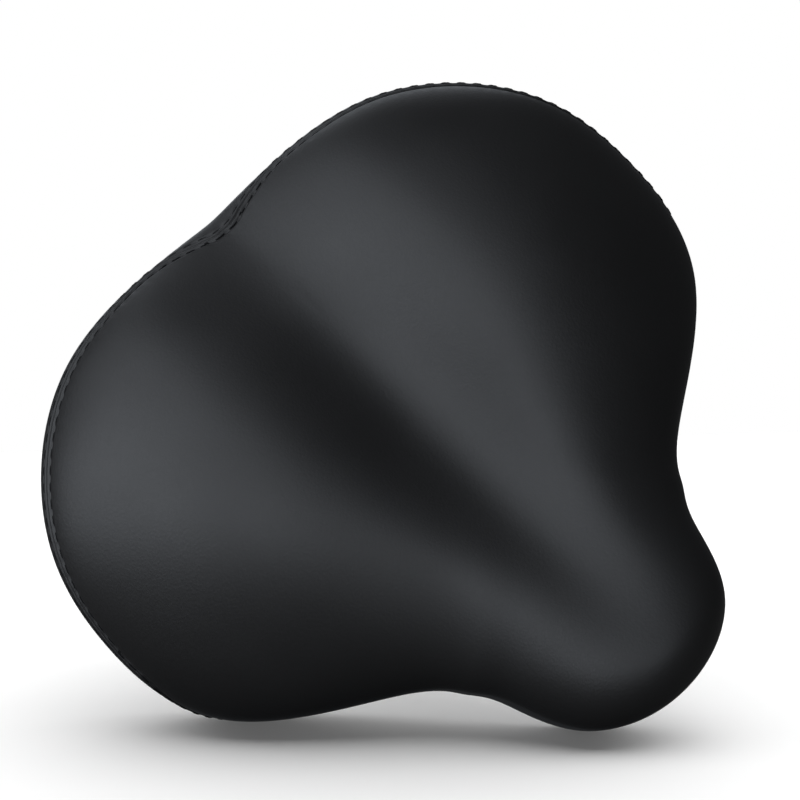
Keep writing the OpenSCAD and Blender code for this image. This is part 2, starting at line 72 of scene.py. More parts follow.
toward_camera = (EYE - TARGET).normalized()
screen_right = SCREEN_UP.cross(toward_camera).normalized()
screen_up = toward_camera.cross(screen_right)


def from_camera(right, up, toward):
    """The place that far from the target along the camera's right, up and toward directions."""
    return TARGET + screen_right * right + screen_up * up + toward_camera * toward


camera = bpy.data.objects.new("camera", bpy.data.cameras.new("camera"))
scene.collection.objects.link(camera)
camera.matrix_world = Matrix.Translation(EYE) @ Matrix(
    (screen_right, screen_up, toward_camera)
).transposed().to_4x4()
camera.data.lens = LENS
camera.data.sensor_width = SENSOR
scene.camera = camera

# ---------------------------------------------------------------- shape of the padded top, mm

TOP_Y, TOP_Z = 10.0, 100.0
# Control points of the widest line, from the nose round the left side to the tail
RIM_POINTS = np.array([
    (0, -160, 22), (45, -144, 22), (54, -104, 12), (64, -96, 10), (70, -81, 4), (151, -40, -16),
    (158, 25, -14), (147, 76, -6), (92, 127, -6), (17, 126, -10), (0, 124, -12)], float)
SPINE_FRONT, SPINE_REAR = -65.0, 60.0
PLAN_POWER_NOSE, PLAN_POWER_TAIL, HEIGHT_POWER = 3.1, 2.2, 1.8
SIDE_TUCK, SIDE_DROP = 0.08, 34.0
CROWN = (42.0, 8.0, -3.0, -9.0)
SIDE_FALL = 4.5
SWELL_H, SWELL_AT, SWELL_SIZE = 5.0, (100.0, 9.0), (46.0, 41.0)
GROOVE_DEPTH, GROOVE_W, GROOVE_FLARE = 26.0, 33.0, 15.0
GROOVE_START, GROOVE_FULL = -143.0, 60.0
COVER_T, HEM_W, HEM_ANGLE = 1.2, 11.0, 180.0
BASE_T, BASE_EDGE, LAYER_GAP = 3.5, 4.2, 0.3


def smooth(a, b, v):
    u = np.clip((v - a) / (b - a), 0, 1)
    return u * u * (3 - 2 * u)


def rim(t):
    """Points of the widest line at t, 0 at the nose and 1 at the tail: a uniform cubic B-spline."""
    spans = len(RIM_POINTS) - 1
    flip = np.array((-1, 1, 1))
    control = np.vstack([RIM_POINTS[1] * flip, RIM_POINTS, RIM_POINTS[-2] * flip])
    i = np.minimum((t * spans).astype(int), spans - 1)
    f = (t * spans - i)[..., None]
    return ((1 - f) ** 3 * control[i]
            + (3 * f**3 - 6 * f**2 + 4) * control[i + 1]
            + (-3 * f**3 + 3 * f**2 + 3 * f + 1) * control[i + 2]
            + f**3 * control[i + 3]) / 6


fine_t = np.linspace(0, 1, 1201)
rim_steps = np.linalg.norm(np.diff(rim(fine_t), axis=0), axis=1)
rim_lengths = np.concatenate([[0], np.cumsum(rim_steps)])


def even_t(share):
    """The t at a share of the widest line's length."""
    return np.interp(share * rim_lengths[-1], rim_lengths, fine_t)


def crown(x, y):
    s = y / 100
    groove = GROOVE_DEPTH * smooth(GROOVE_START, GROOVE_FULL, y)
    swell = np.exp(-(((np.abs(x) - SWELL_AT[0]) / SWELL_SIZE[0]) ** 2)
                   - ((y - SWELL_AT[1]) / SWELL_SIZE[1]) ** 2)
    return (CROWN[0] + CROWN[1] * s + CROWN[2] * s**2 + CROWN[3] * s**3
            - SIDE_FALL * (x / 100) ** 2 + SWELL_H * swell
            - groove * np.exp(-((x / (GROOVE_W + GROOVE_FLARE * s)) ** 2)))


def spine_at(t):
    return SPINE_FRONT + (SPINE_REAR - SPINE_FRONT) * smooth(0, 1, t)


def skin(t, a, inset=0.0):
    """Points of the skin: a is the section's angle in degrees, 0 on the centre line, 90 on the
    widest line and 180 at the hem. inset moves them into the body."""
    t, a = np.broadcast_arrays(np.asarray(t, float), np.asarray(a, float))
    o = rim(t)
    cy = spine_at(t)
    reach = np.hypot(o[..., 0], o[..., 1] - cy)
    power = PLAN_POWER_NOSE + (PLAN_POWER_TAIL - PLAN_POWER_NOSE) * smooth(0.3, 1, t)
    sin_a = np.clip(np.sin(np.radians(a)), 0, 1)
    cos_a = np.cos(np.radians(a))
    on_top = a < 90
    r = np.where(on_top, sin_a ** (2 / power), 1 - SIDE_TUCK * (1 - sin_a))
    lift = np.where(on_top, np.clip(cos_a, 0, 1) ** (2 / HEIGHT_POWER), 0)
    q = r * (1 - inset / reach)
    z = (o[..., 2] + (crown(o[..., 0] * r, cy + (o[..., 1] - cy) * r) - inset - o[..., 2]) * lift
         + np.where(on_top, 0, SIDE_DROP * cos_a))
    return np.stack([o[..., 0] * q, cy + (o[..., 1] - cy) * q + TOP_Y, z + TOP_Z], -1)


def fold(t, w, rise):
    """Points under the hem, w inwards from its edge and risen by rise."""
    p = skin(t, np.full(np.shape(t), HEM_ANGLE))
    cy = spine_at(t) + TOP_Y
    q = 1 - w / np.hypot(p[..., 0], p[..., 1] - cy)
    return np.stack([p[..., 0] * q, cy + (p[..., 1] - cy) * q, p[..., 2] + rise], -1)


def base_point(t, r, rise):
    """Point of the base's underside a share r of the way out, risen by rise."""
    h = skin(t, np.full(np.shape(t), HEM_ANGLE), BASE_EDGE)
    cy = spine_at(t) + TOP_Y
    y = cy + (h[..., 1] - cy) * r
    spine_z = TOP_Z - 8 - 24 * smooth(-120, 60, y - TOP_Y)
    out = r ** 2.5
    z = spine_z * (1 - out) + (h[..., 2] + LAYER_GAP) * out + rise
    return np.stack([h[..., 0] * r, y, z], -1)


# ---------------------------------------------------------------- the rear seam

# It runs round the tail along the top's edge, and sweeps down to the hem at the wings' fronts
SEAM_TAIL, CORNER_FALL, SIDE_SINK, CORNER_DIP = 61.0, 14.0, 10.0, 2.0
SWEEP_START, SWEEP_END, SWEEP_POWER = 0.57, 0.475, 2.0
STITCH_PITCH, STITCH_OFF = 6.9, 2.4


def seam_angle(t):
    u = 2 * (1 - t)
    along = (SEAM_TAIL + CORNER_FALL * smooth(0.04, 0.26, u) + SIDE_SINK * smooth(0.3, 1, u)
             + CORNER_DIP * np.exp(-(((u - 0.25) / 0.05) ** 2)))
    swept = np.clip((SWEEP_START - t) / (SWEEP_START - SWEEP_END), 0, 1) ** SWEEP_POWER
    return along + (HEM_ANGLE - along) * swept


def mirrored(points):
    return points * np.array((-1, 1, 1))


def across_tail(half):
    """Columns from the left wing's front round the tail to the right wing's, from the left half."""
    return np.concatenate([half, mirrored(half[-2::-1])])


seam_t = np.linspace(SWEEP_END, 1, 1400)
seam_half = skin(seam_t, seam_angle(seam_t))
seam_line = across_tail(seam_half)
seam_run = np.concatenate([[0], np.cumsum(np.linalg.norm(np.diff(seam_line, axis=0), axis=1))])
seam_tree = KDTree(len(seam_line))
for index, point in enumerate(seam_line):
    seam_tree.insert(point, index)
seam_tree.balance()
stitch_count = int(seam_run[-1] / STITCH_PITCH)
stitch_pitch = seam_run[-1] / stitch_count


def near_seam(points, reach=14.0):
    """Distance from the seam, and the run along it, of each point; far points get the reach."""
    flat = points.reshape(-1, 3)
    away = np.full(len(flat), reach)
    run = np.zeros(len(flat))
    for i, p in enumerate(flat):
        _, index, gap = seam_tree.find(p)
        if gap < reach:
            lo = max(index - 1, 0)
            hi = min(index + 1, len(seam_line) - 1)
            step = seam_line[hi] - seam_line[lo]
            share = np.clip((p - seam_line[lo]) @ step / (step @ step), 0, 1)
            away[i] = np.linalg.norm(p - seam_line[lo] - share * step)
            run[i] = seam_run[lo] + share * (seam_run[hi] - seam_run[lo])
    return away.reshape(points.shape[:-1]), run.reshape(points.shape[:-1])


RIDGE_H, RIDGE_AT, RIDGE_W = 0.36, 1.25, 0.8
GROOVE_LINE, GROOVE_LINE_W, HOLE_PULL = 0.42, 0.65, 0.22
JOINT_DEPTH, JOINT_W = 0.8, 0.36


def seam_relief(away, run):
    """How far the sewn material stands out: a padded ridge beside the joint, a groove under the
    stitches that the thread pulls in at each needle hole, and a rounded edge at the joint."""
    pull = (0.5 + 0.5 * np.cos(2 * np.pi * run / stitch_pitch)) ** 3
    ridge = (RIDGE_H - 0.12 * pull) * np.exp(-(((away - RIDGE_AT) / RIDGE_W) ** 2))
    channel = ((GROOVE_LINE + HOLE_PULL * pull)
               * np.exp(-(((away - STITCH_OFF) / GROOVE_LINE_W) ** 2)))
    pucker = 0.10 * pull * np.exp(-((away - STITCH_OFF - 1.8) / 1.9) ** 2)
    joint = JOINT_DEPTH * np.exp(-((away / JOINT_W) ** 2))
    return ridge - channel - pucker - joint


# ---------------------------------------------------------------- mesh helpers


def new_mesh_object(name, points, faces, smooth_shading=True):
    mesh = bpy.data.meshes.new(name)
    mesh.from_pydata([tuple(p) for p in np.asarray(points) * MM], [], faces)
    shape = bmesh.new()
    shape.from_mesh(mesh)
    bmesh.ops.remove_doubles(shape, verts=shape.verts, dist=2e-6)
    bmesh.ops.dissolve_degenerate(shape, edges=shape.edges, dist=1e-6)
    bmesh.ops.recalc_face_normals(shape, faces=shape.faces)
    shape.to_mesh(mesh)
    shape.free()
    if smooth_shading:
        mesh.shade_smooth()
    piece = bpy.data.objects.new(name, mesh)
    scene.collection.objects.link(piece)
    return piece


def grid_faces(columns, rings, loop_columns=False, loop_rings=False, start=0):
    """Quads of a grid of points numbered column by column."""
    faces = []
    for c in range(columns if loop_columns else columns - 1):
        d = (c + 1) % columns
        for k in range(rings if loop_rings else rings - 1):
            m = (k + 1) % rings
            faces.append((start + c * rings + k, start + d * rings + k,
                          start + d * rings + m, start + c * rings + m))
    return faces


def grid_normals(points, loop_columns):
    """Outward normals of a grid of the skin, columns first."""
    if loop_columns:
        along = np.roll(points, -1, axis=0) - np.roll(points, 1, axis=0)
    else:
        along = np.gradient(points, axis=0)
    down = np.gradient(points, axis=1)
    normal = np.cross(down, along)
    return normal / np.maximum(np.linalg.norm(normal, axis=-1, keepdims=True), 1e-9)


def finish_piece(piece, body, material, slot, *nodes):
    piece.data.materials.append(material)
    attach(piece, body)
    if nodes:
        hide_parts(*nodes)
    return piece


# ---------------------------------------------------------------- materials


class Tree:
    """A material's node tree, with its Principled shader as shader."""

    def __init__(self, name):
        self.material = bpy.data.materials.new(name)
        self.material.use_nodes = True
        self.nodes = self.material.node_tree.nodes
        self.shader = self.nodes["Principled BSDF"]
        self.place = self.add("ShaderNodeTexCoord").outputs["Object"]

    def add(self, kind, **settings):
        node = self.nodes.new(kind)
        for key, value in settings.items():
            setattr(node, key, value)
        return node

    def link(self, output, node_input):
        self.material.node_tree.links.new(output, node_input)

    def fix(self, **values):
        """Sets constants on the shader's own sockets."""
        for key, value in values.items():
            self.shader.inputs[key.replace("_", " ")].default_value = value

    def noise(self, size, detail=3.0, roughness=0.5, where=None):
        """Noise whose features are about size metres wide."""
        node = self.add("ShaderNodeTexNoise")
        node.inputs["Scale"].default_value = 1 / size
        node.inputs["Detail"].default_value = detail
        node.inputs["Roughness"].default_value = roughness
        self.link(where or self.place, node.inputs["Vector"])
        return node.outputs["Fac"]

    def cells(self, size, feature="F1", where=None):
        node = self.add("ShaderNodeTexVoronoi", feature=feature)
        node.inputs["Scale"].default_value = 1 / size
        self.link(where or self.place, node.inputs["Vector"])
        return node.outputs["Distance"]

    def spread(self, value, low, high, to_low, to_high):
        """Maps low..high of a value onto to_low..to_high."""
        node = self.add("ShaderNodeMapRange")
        for name, number in zip(("From Min", "From Max", "To Min", "To Max"),
                                (low, high, to_low, to_high)):
            node.inputs[name].default_value = number
        self.link(value, node.inputs["Value"])
        return node.outputs["Result"]

    def mix_colour(self, share, a, b):
        node = self.add("ShaderNodeMix", data_type="RGBA")
        node.inputs["A"].default_value = (*a, 1)
        node.inputs["B"].default_value = (*b, 1)
        self.link(share, node.inputs["Factor"])
        return [o for o in node.outputs if o.type == "RGBA"][0]

    def sum(self, *values):
        total = values[0]
        for value in values[1:]:
            node = self.add("ShaderNodeMath", operation="ADD")
            self.link(total, node.inputs[0])
            self.link(value, node.inputs[1])
            total = node.outputs[0]
        return total

    def bump(self, height, depth, strength=1.0):
        """Bump of a height whose unit is depth metres."""
        node = self.add("ShaderNodeBump")
        node.inputs["Distance"].default_value = depth
        node.inputs["Strength"].default_value = strength
        self.link(height, node.inputs["Height"])
        self.link(node.outputs["Normal"], self.shader.inputs["Normal"])

    def colour(self, output):
        self.link(output, self.shader.inputs["Base Color"])

    def rough(self, output):
        self.link(output, self.shader.inputs["Roughness"])


def leather():
    tree = Tree("cover_leather")
    broad = tree.noise(0.07, detail=2)
    grain = tree.cells(0.0011, "SMOOTH_F1")
    pores = tree.noise(0.00035, detail=2)
    tree.colour(tree.mix_colour(broad, (0.0096, 0.0092, 0.0092), (0.0128, 0.0124, 0.0124)))
    tree.rough(tree.sum(tree.spread(broad, 0.3, 0.7, 0.36, 0.44),
                        tree.spread(grain, 0, 0.6, 0, 0.06)))
    tree.bump(tree.sum(tree.spread(grain, 0, 0.7, 1, 0), tree.spread(pores, 0.2, 0.8, 0, 0.5)),
              0.00004, 0.7)
    tree.fix(Specular_IOR_Level=0.5, Sheen_Weight=0.05, Sheen_Roughness=0.4)
    return tree.material


def thread():
    tree = Tree("seam_thread")
    fibre = tree.noise(0.00025, detail=3)
    tree.colour(tree.mix_colour(fibre, (0.0015, 0.0015, 0.0018), (0.005, 0.005, 0.0055)))
    tree.rough(tree.spread(fibre, 0.3, 0.7, 0.55, 0.75))
    tree.bump(fibre, 0.00008, 0.8)
    tree.fix(Specular_IOR_Level=0.12)
    return tree.material


def foam():
    tree = Tree("foam_cells")
    cells = tree.cells(0.0016)
    broad = tree.noise(0.02)
    tree.colour(tree.mix_colour(broad, (0.74, 0.66, 0.42), (0.86, 0.80, 0.58)))
    tree.rough(tree.spread(cells, 0, 0.7, 0.95, 0.8))
    tree.bump(cells, 0.0006)
    return tree.material


def moulded_plastic():
    tree = Tree("base_moulded_plastic")
    texture = tree.noise(0.0009, detail=4, roughness=0.6)
    flow = tree.noise(0.05, detail=2)
    tree.colour(tree.mix_colour(flow, (0.014, 0.014, 0.0155), (0.022, 0.022, 0.024)))
    tree.rough(tree.sum(tree.spread(flow, 0.3, 0.7, 0.40, 0.50),
                        tree.spread(texture, 0.3, 0.7, -0.04, 0.08)))
    tree.bump(texture, 0.00012, 0.8)
    return tree.material


def powder_coat():
    tree = Tree("powder_coat_black")
    peel = tree.noise(0.0016, detail=2)
    speck = tree.noise(0.0004, detail=2)
    broad = tree.noise(0.02, detail=2)
    tree.colour(tree.mix_colour(broad, (0.012, 0.012, 0.013), (0.020, 0.020, 0.0215)))
    tree.rough(tree.sum(tree.spread(broad, 0.3, 0.7, 0.28, 0.38),
                        tree.spread(speck, 0.3, 0.7, 0, 0.08)))
    tree.bump(tree.sum(peel, tree.spread(speck, 0.3, 0.7, 0, 0.3)), 0.00012, 0.6)
    tree.fix(Coat_Weight=0.15, Coat_Roughness=0.2)
    return tree.material


def bright_steel():
    tree = Tree("plated_spring_steel")
    stain = tree.noise(0.012, detail=4)
    scratch = tree.noise(0.0006, detail=4, roughness=0.7)
    tree.colour(tree.mix_colour(stain, (0.60, 0.61, 0.63), (0.70, 0.71, 0.73)))
    tree.rough(tree.sum(tree.spread(stain, 0.3, 0.7, 0.14, 0.24),
                        tree.spread(scratch, 0.4, 0.7, 0, 0.10)))
    tree.bump(scratch, 0.00002, 0.5)
    tree.fix(Metallic=1.0)
    return tree.material


def zinc():
    tree = Tree("zinc_plated_steel")
    spangle = tree.cells(0.0025)
    stain = tree.noise(0.006, detail=4)
    fine = tree.noise(0.0004, detail=3)
    tree.colour(tree.mix_colour(stain, (0.50, 0.51, 0.52), (0.66, 0.67, 0.69)))
    tree.rough(tree.sum(tree.spread(spangle, 0, 0.8, 0.28, 0.36),
                        tree.spread(stain, 0.3, 0.7, 0, 0.12)))
    tree.bump(fine, 0.00003, 0.6)
    tree.fix(Metallic=1.0)
    return tree.material


LEATHER = leather()
THREAD = thread()
FOAM = foam()
PLASTIC = moulded_plastic()
POWDER_COAT = powder_coat()
BRIGHT_STEEL = bright_steel()
ZINC = zinc()

# ---------------------------------------------------------------- cover

# Shares of the outline's half at which the columns stand: closer together along the seam
NOSE_COLUMNS, SEAM_COLUMNS, SEAM_FROM = 64, 262, 0.33
half_shares = np.concatenate([
    np.linspace(0, SEAM_FROM, NOSE_COLUMNS), np.linspace(SEAM_FROM, 1, SEAM_COLUMNS)[1:]])
# Distances from the seam of the rings beside it, and depths of the turned-in edge
NEAR_RINGS = np.array([9, 7.6, 6.4, 5.4, 4.7, 4.1, 3.7, 3.35, 3.05, 2.8, 2.6, 2.4, 2.2, 2.0, 1.75,
                       1.5, 1.25, 1.0, 0.8, 0.6, 0.42, 0.28, 0.16, 0.08])
TURN_IN = np.array([0.5, 1.1, 1.7, 2.3]) + 0.6
HEM_STEPS = np.array([1.0, 3.5, 7.0, HEM_W])
CROWN_RINGS, SIDE_RINGS, INNER_RINGS = 42, 24, 40
CROWN_SPACING = 1.25
RELIEF_REACH = 13


def both_sides(half):
    """A whole round of columns from those of the left half, nose to tail."""
    return np.concatenate([half, mirrored(half[-2:0:-1])])


def hem_pleats(t, w):
    """Height of the small gathers in the folded hem, where the outline bends most."""
    run = np.interp(t, fine_t, rim_lengths)
    bend = smooth(0, 0.06, 0.06 - np.abs(t - 0.03)) + smooth(0, 0.12, 0.12 - np.abs(t - 0.66))
    return 0.35 * bend * (w / HEM_W) * np.sin(2 * np.pi * run / 5.5)


def hem_outside(t):
    """The outside of the hem folded under the rim, gathered, for each column."""
    folded = np.stack([fold(t, w, -COVER_T * min(1, w / 2)) for w in HEM_STEPS], 1)
    folded[..., 2] += np.stack([hem_pleats(t, w) for w in HEM_STEPS], 1)
    return folded


def column_grid(t, angles, inset=0.0):
    return skin(t[:, None], angles, inset)


def with_relief(rounds, normal):
    """The rounds of the skin with the sewn edge's relief added near the seam."""
    away, run = near_seam(rounds)
    return rounds + normal * seam_relief(away, run)[..., None] * (away < RELIEF_REACH)[..., None]


def top_panel_columns():
    t = even_t(half_shares)
    sewn = t > SWEEP_END
    edge = np.where(sewn, seam_angle(np.maximum(t, SWEEP_END)), HEM_ANGLE)
    speed = np.linalg.norm(skin(t, edge - 1) - skin(t, edge), axis=-1)
    near = edge[:, None] - np.minimum(NEAR_RINGS / speed[:, None], 60 * NEAR_RINGS / NEAR_RINGS[0])
    far = near[:, :1] * np.linspace(0, 1, CROWN_RINGS + 1)[:-1] ** CROWN_SPACING
    outer = column_grid(t, np.hstack([far, near]))
    rounds = both_sides(outer)
    normal = grid_normals(rounds, True)
    normal *= np.sign(normal[len(normal) // 4, 30, 2])
    rounds = with_relief(rounds, normal)
    # The edge: turned in at the seam, folded under at the hem
    sewn_share = smooth(SWEEP_END, SWEEP_END + 0.012, t)[:, None, None]
    tip = skin(t, edge)
    edge_normal = normal[:len(t), -1]
    turned = tip[:, None] - edge_normal[:, None] * TURN_IN[None, :, None]
    folded = hem_outside(t)
    rim_part = both_sides(folded * (1 - sewn_share) + turned * sewn_share)
    inner_edge = np.maximum(edge - 2.2 / speed, 60)
    inner_edge = np.where(sewn, inner_edge, HEM_ANGLE - 3)
    inner_rings = np.linspace(1, 0, INNER_RINGS) ** CROWN_SPACING
    inner = column_grid(t, inner_edge[:, None] * inner_rings, COVER_T)
    fold_back = np.stack([fold(t, w, 0.0) for w in HEM_STEPS[::-1]], 1)
    deep = tip[:, None] - edge_normal[:, None] * TURN_IN[::-1][None, :, None]
    inward = skin(t, edge - 1) - tip
    inward /= np.linalg.norm(inward, axis=-1, keepdims=True)
    deep = deep + inward[:, None] * COVER_T
    back_part = both_sides(fold_back * (1 - sewn_share) + deep * sewn_share)
    return np.concatenate([rounds, rim_part, back_part, both_sides(inner)], 1)


def rear_panel_columns():
    t = even_t(half_shares)
    t = np.concatenate([[SWEEP_END + 0.001], t[t > SWEEP_END + 0.002]])
    edge = seam_angle(t)
    speed = np.linalg.norm(skin(t, edge - 0.5) - skin(t, edge - 1.5), axis=-1)
    room = HEM_ANGLE - edge
    near = (NEAR_RINGS / speed[:, None])[:, ::-1]
    near = edge[:, None] + near * np.minimum(1, 0.6 * room / near[:, -1])[:, None]
    steps = np.linspace(0, 1, SIDE_RINGS + 1)[1:]
    far = near[:, -1:] + (HEM_ANGLE - near[:, -1:]) * steps
    outer = column_grid(t, np.hstack([near, far]))
    rounds = across_tail(outer)
    normal = grid_normals(rounds, False)
    normal *= np.sign(normal[len(normal) // 2, 0, 2])
    rounds = with_relief(rounds, normal)
    tip = across_tail(skin(t, edge))
    turned = tip[:, None] - normal[:, :1] * TURN_IN[::-1][None, :, None]
    outward = rounds[:, 4] - rounds[:, 0]
    outward /= np.maximum(np.linalg.norm(outward, axis=-1, keepdims=True), 1e-9)
    turned = turned + outward[:, None] * 0.1
    folded = across_tail(hem_outside(t))
    outside = np.concatenate([turned, rounds, folded], 1)
    inner = column_grid(t, np.hstack([near, np.minimum(far, HEM_ANGLE - 2)]), COVER_T)
    inner_turn = turned + outward[:, None] * COVER_T
    fold_back = across_tail(np.stack([fold(t, w, 0.0) for w in HEM_STEPS], 1))
    inside = np.concatenate([inner_turn, across_tail(inner), fold_back], 1)
    return outside, inside


def build_cover():
    points = top_panel_columns()
    columns, rings = points.shape[:2]
    top = new_mesh_object("cover_top", points.reshape(-1, 3), grid_faces(columns, rings, True))
    finish_piece(top, "saddle_top", LEATHER, "cover", "cover_top_panel")
    outside, inside = rear_panel_columns()
    points = np.concatenate([outside, inside[:, ::-1]], 1)
    columns, rings = points.shape[:2]
    faces = grid_faces(columns, rings, loop_rings=True)
    for start in (0, (columns - 1) * rings):
        faces += [(start + k, start + k + 1, start + rings - 2 - k, start + rings - 1 - k)
                  for k in range(rings // 2 - 1)]
    rear = new_mesh_object("cover_rear", points.reshape(-1, 3), faces)
    finish_piece(rear, "saddle_top", LEATHER, "cover", "cover_rear_panel")
    return top, rear


# ---------------------------------------------------------------- stitches

THREAD_D, STITCH_GAP = 0.85, 1.9
# How deep the thread's middle line lies, how far it rises halfway, and how far its ends dip
STITCH_SINK, STITCH_ARCH, STITCH_DIP = 0.2, 0.14, 0.6
STITCH_RINGS, STITCH_SIDES = 15, 10


def cover_surface(pieces):
    """A tree of the cover's faces, in millimetres, to lay stitches on."""
    points, faces = [], []
    for piece in pieces:
        start = len(points)
        points += [v.co / MM for v in piece.data.vertices]
        faces += [[start + i for i in f.vertices] for f in piece.data.polygons]
    return BVHTree.FromPolygons(points, faces)


def seam_at(run):
    return Vector([np.interp(run, seam_run, seam_line[:, i]) for i in range(3)])


def stitch_points(surface, run, side):
    """Places on the cover beside the seam at the given runs along it, with the normals there."""
    middle = Vector((0, TOP_Y, TOP_Z - 60))
    places, normals = [], []
    for s in run:
        p = seam_at(s)
        outside = p + (p - middle).normalized() * 2
        normal = surface.find_nearest(outside)[1]
        across = (seam_at(s + 0.5) - seam_at(s - 0.5)).cross(normal).normalized()
        near, normal, _, _ = surface.find_nearest(p + across * side * STITCH_OFF + normal * 0.5)
        places.append(near)
        normals.append(normal)
    return places, normals


def build_stitches(surface, side, name):
    """One row of top-stitches: two-ply thread that dips into the cover at both ends."""
    points, faces = [], []
    length = stitch_pitch - STITCH_GAP
    share = np.linspace(0, 1, STITCH_RINGS)
    for n in range(stitch_count):
        run = (n + 0.5) * stitch_pitch + (share - 0.5) * length
        places, normals = stitch_points(surface, run, side)
        mean = sum(normals, Vector()).normalized()
        start = len(points)
        for i, at in enumerate(places):
            ahead = places[min(i + 1, STITCH_RINGS - 1)] - places[max(i - 1, 0)]
            across = ahead.cross(mean).normalized()
            out = across.cross(ahead).normalized()
            out = out if out.dot(mean) > 0 else -out
            end = (2 * share[i] - 1) ** 8
            rise = -STITCH_SINK + STITCH_ARCH * math.sin(math.pi * share[i]) - STITCH_DIP * end
            slim = 1 - 0.45 * end
            for k in range(STITCH_SIDES):
                angle = 2 * math.pi * k / STITCH_SIDES
                ply = 0.80 + 0.20 * abs(math.cos(angle - side * 2.6 * math.pi * share[i]))
                radius = THREAD_D / 2 * ply * slim
                points.append(at + out * (rise + radius * math.sin(angle))
                              + across * radius * math.cos(angle))
        faces += grid_faces(STITCH_RINGS, STITCH_SIDES, loop_rings=True, start=start)
        faces.append(tuple(range(start, start + STITCH_SIDES))[::-1])
        last = start + (STITCH_RINGS - 1) * STITCH_SIDES
        faces.append(tuple(range(last, last + STITCH_SIDES)))
    row = new_mesh_object(name, points, faces)
    return finish_piece(row, "saddle_top", THREAD, "cover")


# ---------------------------------------------------------------- foam


def build_foam():
    inset = COVER_T + LAYER_GAP
    t = even_t(np.linspace(0, 1, 90))
    angles = np.concatenate([90 * np.linspace(0, 1, 36) ** CROWN_SPACING, np.linspace(94, 176, 16)])
    outer = column_grid(t, np.tile(angles, (len(t), 1)), inset)
    lower = np.stack([base_point(t, r, BASE_T + LAYER_GAP)
                      for r in (1, 0.94, 0.85, 0.7, 0.5, 0.25, 0)], 1)
    points = both_sides(np.concatenate([outer, lower], 1))
    columns, rings = points.shape[:2]
    pad = new_mesh_object("foam", points.reshape(-1, 3), grid_faces(columns, rings, True))
    finish_piece(pad, "saddle_top", FOAM, "foam", "foam_pad")


# ---------------------------------------------------------------- coil springs

SPRING_WIRE, SPRING_OD, SPRING_TURNS = 4.5, 34.0, 5
SPRING_AT = (48.0, 84.0)
COIL_STEPS, COIL_SIDES = 40, 16


def build_spring(side, name, node):
    low, high = (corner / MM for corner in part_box(node))
    foot = Vector((side * SPRING_AT[0], SPRING_AT[1], low.z))
    rise = high.z - low.z - SPRING_WIRE
    close = SPRING_WIRE + 0.3
    pitch = (rise - 2 * close) / (SPRING_TURNS - 2)
    turn = np.linspace(0, SPRING_TURNS, SPRING_TURNS * COIL_STEPS + 1)
    height = np.where(turn < 1, close * turn, np.where(
        turn > SPRING_TURNS - 1, rise - close * (SPRING_TURNS - turn), close + pitch * (turn - 1)))
    points = []
    for n, h in zip(turn, height):
        for k in range(COIL_SIDES):
            angle = 2 * math.pi * k / COIL_SIDES
            out = (SPRING_OD - SPRING_WIRE) / 2 + SPRING_WIRE / 2 * math.cos(angle)
            points.append((foot.x + side * out * math.cos(2 * math.pi * n),
                           foot.y + out * math.sin(2 * math.pi * n),
                           foot.z + h + SPRING_WIRE / 2 * (1 + math.sin(angle))))
    faces = grid_faces(len(turn), COIL_SIDES, loop_rings=True)
    faces.append(tuple(range(COIL_SIDES))[::-1])
    end = (len(turn) - 1) * COIL_SIDES
    faces.append(tuple(range(end, end + COIL_SIDES)))
    coil = new_mesh_object(name, points, faces)
    coil.data.materials.append(BRIGHT_STEEL)
    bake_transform(coil)
    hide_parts(node)


# ---------------------------------------------------------------- carried-over metal parts

CAD_MATERIALS = {
    "base_shell": PLASTIC, "hem_staples": ZINC, "nose_bracket": POWDER_COAT, "nose_screws": ZINC,
    "rear_mount_plate": POWDER_COAT, "mount_plate_screws": ZINC,
    "spring_cup_upper_left": POWDER_COAT, "spring_cup_upper_right": POWDER_COAT,
    "upper_spring_bolts": ZINC, "spring_cup_lower_left": POWDER_COAT,
    "spring_cup_lower_right": POWDER_COAT, "lower_spring_bolts": ZINC, "lower_spring_nuts": ZINC,
    "rail_wire": BRIGHT_STEEL, "rear_bridge": POWDER_COAT, "rail_cradle_left": POWDER_COAT,
    "rail_cradle_right": POWDER_COAT, "rail_cap_left": POWDER_COAT, "rail_cap_right": POWDER_COAT,
    "clamp_band": POWDER_COAT, "serrated_washer_left": ZINC, "serrated_washer_right": ZINC,
    "clamp_bolt": ZINC, "clamp_washers": ZINC, "clamp_nut": ZINC}


# Width in metres of the rounded edges of each node that is cut or stamped from thicker stock
EDGE_ROUNDING = {
    "nose_bracket": 0.0006, "rear_mount_plate": 0.0005, "rear_bridge": 0.0006,
    "spring_cup_upper_left": 0.0005, "spring_cup_upper_right": 0.0005,
    "spring_cup_lower_left": 0.0005, "spring_cup_lower_right": 0.0005,
    "upper_spring_bolts": 0.0006, "lower_spring_bolts": 0.0006, "lower_spring_nuts": 0.0006,
    "rail_cradle_left": 0.0008, "rail_cradle_right": 0.0008, "rail_cap_left": 0.0008,
    "rail_cap_right": 0.0008, "clamp_band": 0.0006, "clamp_bolt": 0.0006, "clamp_nut": 0.0006,
    "clamp_washers": 0.0003, "serrated_washer_left": 0.0002, "serrated_washer_right": 0.0002}


def dress_cad_nodes():
    for node, material in CAD_MATERIALS.items():
        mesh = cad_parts[node].data
        mesh.materials.clear()
        mesh.materials.append(material)
    for node, width in EDGE_ROUNDING.items():
        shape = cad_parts[node]
        weld = shape.modifiers.new("weld", "WELD")
        weld.merge_threshold = 1e-6
        bevel = shape.modifiers.new("rounding", "BEVEL")
        bevel.width = width
        bevel.segments = 2
        bevel.limit_method = "ANGLE"
        bevel.angle_limit = math.radians(40)
        shape.modifiers.new("even_normals", "WEIGHTED_NORMAL")


# ---------------------------------------------------------------- stage and lights


